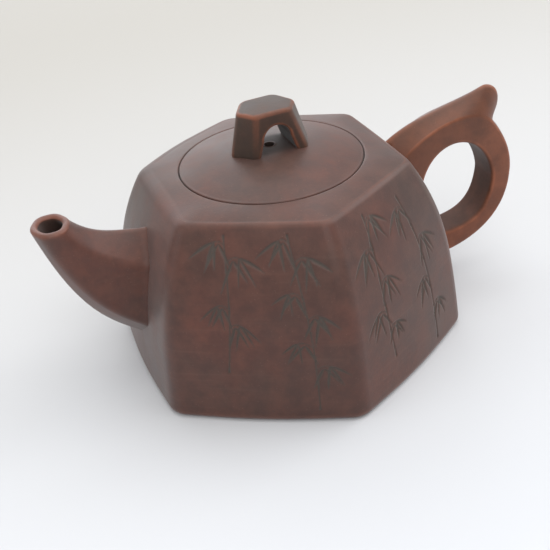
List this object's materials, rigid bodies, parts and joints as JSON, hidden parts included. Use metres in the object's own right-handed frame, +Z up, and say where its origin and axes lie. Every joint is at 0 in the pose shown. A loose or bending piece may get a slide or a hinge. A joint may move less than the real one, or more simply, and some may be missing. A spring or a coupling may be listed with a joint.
{
  "type": "clay teapot",
  "caption": "Six-sided slab-built unglazed clay teapot with a domed round lid, bridge knob, faceted spout and ring handle.",
  "frame": {"origin": "centre of the flat underside, where the teapot rests on the table", "axes": "+X from the pot's upright axis towards the handle, -X towards the spout, +Z up"},
  "size_m": [0.1879, 0.1338, 0.0931],
  "materials": {
    "clay": "unglazed, satin, mottled purple-brown",
    "clay_warm": "unglazed, satin, redder where handled",
    "clay_inner": "unglazed, matte"
  },
  "bodies": {
    "pot": {"base_slab": "clay_inner", "wall_spout": "clay", "wall_front": "clay", "wall_front_right": "clay", "wall_handle": "clay", "wall_rear_right": "clay", "wall_rear_left": "clay", "shoulder_slab": "clay", "mouth_ring": "clay_inner", "spout": "clay_warm", "handle": "clay_warm"},
    "lid": {"lid_disc": "clay", "lid_flange": "clay_inner", "lid_knob": "clay_warm"}
  },
  "joints": [
    {"name": "lid_lift", "type": "slide", "parent": "pot", "child": "lid", "axis": [0, 0, 1], "range_m": [0, 0.08]}
  ]
}
